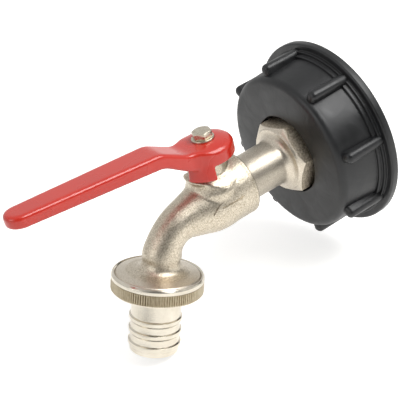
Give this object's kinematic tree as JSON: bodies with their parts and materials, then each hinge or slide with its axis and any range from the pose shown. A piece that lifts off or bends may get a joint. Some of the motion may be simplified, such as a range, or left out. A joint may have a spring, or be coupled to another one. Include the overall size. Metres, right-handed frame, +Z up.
{
  "type": "tank tap",
  "caption": "Lever ball tap with a swivelling coarse-threaded tank nut on the inlet and a knurled union nut holding a barbed hose tail on the outlet.",
  "frame": {"origin": "centre of the tank nut's open mouth, on the pipe axis", "axes": "+X along the pipe axis, out of the nut's mouth towards the tank; +Z up, along the valve stem; +Y completes a right-handed frame"},
  "size_m": [0.143, 0.0788, 0.0903],
  "materials": {
    "cast_nickel": "satin nickel plating on blasted brass casting",
    "nickel": "satin nickel plating on machined brass",
    "bright_nickel": "bright nickel plating on turned brass",
    "brass": "bare turned brass",
    "chrome_ball": "hard chrome, polished",
    "zinc_steel": "bright zinc plating",
    "red_coating": "gloss red powder coating",
    "black_plastic": "semi-gloss moulded polypropylene",
    "rubber": "EPDM",
    "ptfe": "PTFE"
  },
  "bodies": {
    "tap": {"tap_body": "cast_nickel", "inlet_connector": "nickel", "tank_insert": "black_plastic", "tank_seal": "rubber", "connector_seal": "rubber", "body_seal": "ptfe", "seat_ring_inlet": "ptfe", "seat_ring_outlet": "ptfe"},
    "handle": {"ball": "chrome_ball", "stem": "brass", "stem_o_ring_lower": "rubber", "stem_o_ring_upper": "rubber", "thrust_washer": "ptfe", "lever": "red_coating", "screw_washer": "zinc_steel", "lever_screw": "zinc_steel"},
    "tank_nut": {"tank_nut": "black_plastic"},
    "union_nut": {"union_nut": "nickel"},
    "tail": {"hose_tail": "bright_nickel", "union_seal": "rubber"}
  },
  "joints": [
    {"name": "lever_turn", "type": "hinge", "parent": "tap", "child": "handle", "pos_m": [-0.0594, 0, 0], "axis": [0, 0, 1], "range_deg": [-90, 0]},
    {"name": "tank_nut_spin", "type": "hinge", "parent": "tap", "child": "tank_nut", "pos_m": [0, 0, 0], "axis": [1, 0, 0], "continuous": true},
    {"name": "tail_slide", "type": "slide", "parent": "tap", "child": "tail", "axis": [-0.3404, 0, -0.9403], "range_m": [0, 0.0035]},
    {"name": "union_nut_turn", "type": "hinge", "parent": "tail", "child": "union_nut", "pos_m": [-0.0866, 0, 0], "axis": [-0.3404, 0, -0.9403], "range_deg": [0, 540]}
  ],
  "couplings": [
    {"joint": "tail_slide", "follows": "union_nut_turn", "m_per_rad": 0.00036749}
  ]
}
